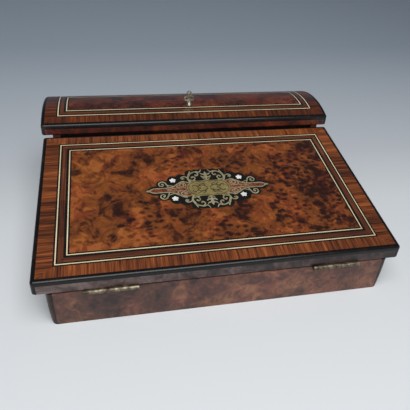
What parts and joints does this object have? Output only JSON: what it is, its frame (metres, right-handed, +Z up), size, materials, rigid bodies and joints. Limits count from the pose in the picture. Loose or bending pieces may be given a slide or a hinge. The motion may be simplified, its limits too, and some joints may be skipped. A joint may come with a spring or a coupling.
{
  "type": "writing box",
  "caption": "Small wooden writing box with a sloping inlaid lid hinged at the front, a domed rear lid with a lock, and ink and pen bays inside.",
  "frame": {"origin": "middle of the underside", "axes": "+Z up, +Y from the front edge of the sloping lid to the domed lid, +X to the right"},
  "size_m": [0.338, 0.29, 0.1256],
  "materials": {
    "carcass_wood": "planed pine and poplar",
    "burr": "french polished burr veneer",
    "rosewood": "french polished cross-grained veneer",
    "ebonised": "black stained and polished",
    "light_string": "pale boxwood",
    "dark_string": "black dyed wood",
    "brass": "aged brass",
    "steel": "old steel",
    "lock_brass": "lacquered brass",
    "shell": "polished red shell",
    "pearl": "polished pearl",
    "leather": "green skiver",
    "paper_lining": "marbled paper",
    "glass": "cut glass"
  },
  "bodies": {
    "case": {"case_front_wall": "carcass_wood", "case_back_wall": "carcass_wood", "case_left_side": "carcass_wood", "case_right_side": "carcass_wood", "case_bottom_board": "carcass_wood", "case_partition": "ebonised", "case_corner_strips": "ebonised", "case_front_veneer": "burr", "case_back_veneer": "burr", "case_side_veneers": "burr", "well_lining": "paper_lining", "flap_ledges": "carcass_wood", "bay_dividers": "carcass_wood", "pen_tray": "carcass_wood", "inkwell_seats": "carcass_wood", "inkwells": "glass", "inkwell_collars": "brass", "strike_plate": "brass", "front_hinge_case_leaves": "brass", "rear_hinge_case_leaves": "brass", "flap_hinge_case_leaves": "brass", "hinge_pins": "brass", "case_screws": "lock_brass"},
    "slope_lid": {"slope_lid_board": "carcass_wood", "slope_lid_edging": "ebonised", "slope_lid_edge_veneer": "burr", "slope_lid_crossbanding": "rosewood", "slope_lid_middle_band": "rosewood", "slope_lid_black_strings": "dark_string", "slope_lid_white_strings": "light_string", "slope_lid_burr_panel": "burr", "slope_lid_leather": "leather", "slope_lid_screws": "lock_brass", "front_hinge_lid_leaves": "brass", "cartouche_ground": "ebonised", "cartouche_plaque": "brass", "cartouche_shell": "shell", "cartouche_scrolls": "brass", "cartouche_flowers": "pearl"},
    "dome_lid": {"dome_top_board": "carcass_wood", "dome_rails": "carcass_wood", "dome_edging": "ebonised", "dome_edge_veneer": "burr", "dome_crossbanding": "rosewood", "dome_middle_band": "rosewood", "dome_black_strings": "dark_string", "dome_white_strings": "light_string", "dome_burr_panel": "burr", "dome_screws": "lock_brass", "keyhole_bush": "brass", "lock_block": "carcass_wood", "lock_case": "steel", "rear_hinge_lid_leaves": "brass"},
    "writing_flap": {"writing_flap_board": "carcass_wood", "writing_flap_leather": "leather", "flap_hinge_flap_leaves": "brass"},
    "key": {"key": "brass"},
    "lock_bolt": {"lock_bolt": "steel"},
    "inkwell_cap_left": {"inkwell_cap_left": "brass"},
    "inkwell_cap_right": {"inkwell_cap_right": "brass"}
  },
  "joints": [
    {"name": "slope_lid_hinge", "type": "hinge", "parent": "case", "child": "slope_lid", "pos_m": [0, -0.14289, 0.03604], "axis": [1, 0, 0], "range_deg": [0, 175]},
    {"name": "writing_flap_hinge", "type": "hinge", "parent": "case", "child": "writing_flap", "pos_m": [0, -0.13125, 0.03591], "axis": [1, 0, 0], "range_deg": [0, 59.5]},
    {"name": "dome_lid_hinge", "type": "hinge", "parent": "case", "child": "dome_lid", "pos_m": [0, 0.14289, 0.08866], "axis": [-1, 0, 0], "range_deg": [0, 100]},
    {"name": "key_turn", "type": "hinge", "parent": "dome_lid", "child": "key", "pos_m": [0, 0.08084, 0.08851], "axis": [0, 0, -1], "range_deg": [0, 90]},
    {"name": "lock_bolt_slide", "type": "slide", "parent": "dome_lid", "child": "lock_bolt", "axis": [0, -1, 0], "range_m": [0, 0.0045]},
    {"name": "inkwell_cap_left_hinge", "type": "hinge", "parent": "case", "child": "inkwell_cap_left", "pos_m": [-0.127, 0.11219, 0.06915], "axis": [-1, 0, 0], "range_deg": [0, 105]},
    {"name": "inkwell_cap_right_hinge", "type": "hinge", "parent": "case", "child": "inkwell_cap_right", "pos_m": [0.127, 0.11219, 0.06915], "axis": [-1, 0, 0], "range_deg": [0, 105]}
  ],
  "couplings": [
    {"joint": "writing_flap_hinge", "follows": "slope_lid_hinge", "ratio": 0.34},
    {"joint": "key_turn", "follows": "lock_bolt_slide", "rad_per_m": 349.07}
  ]
}
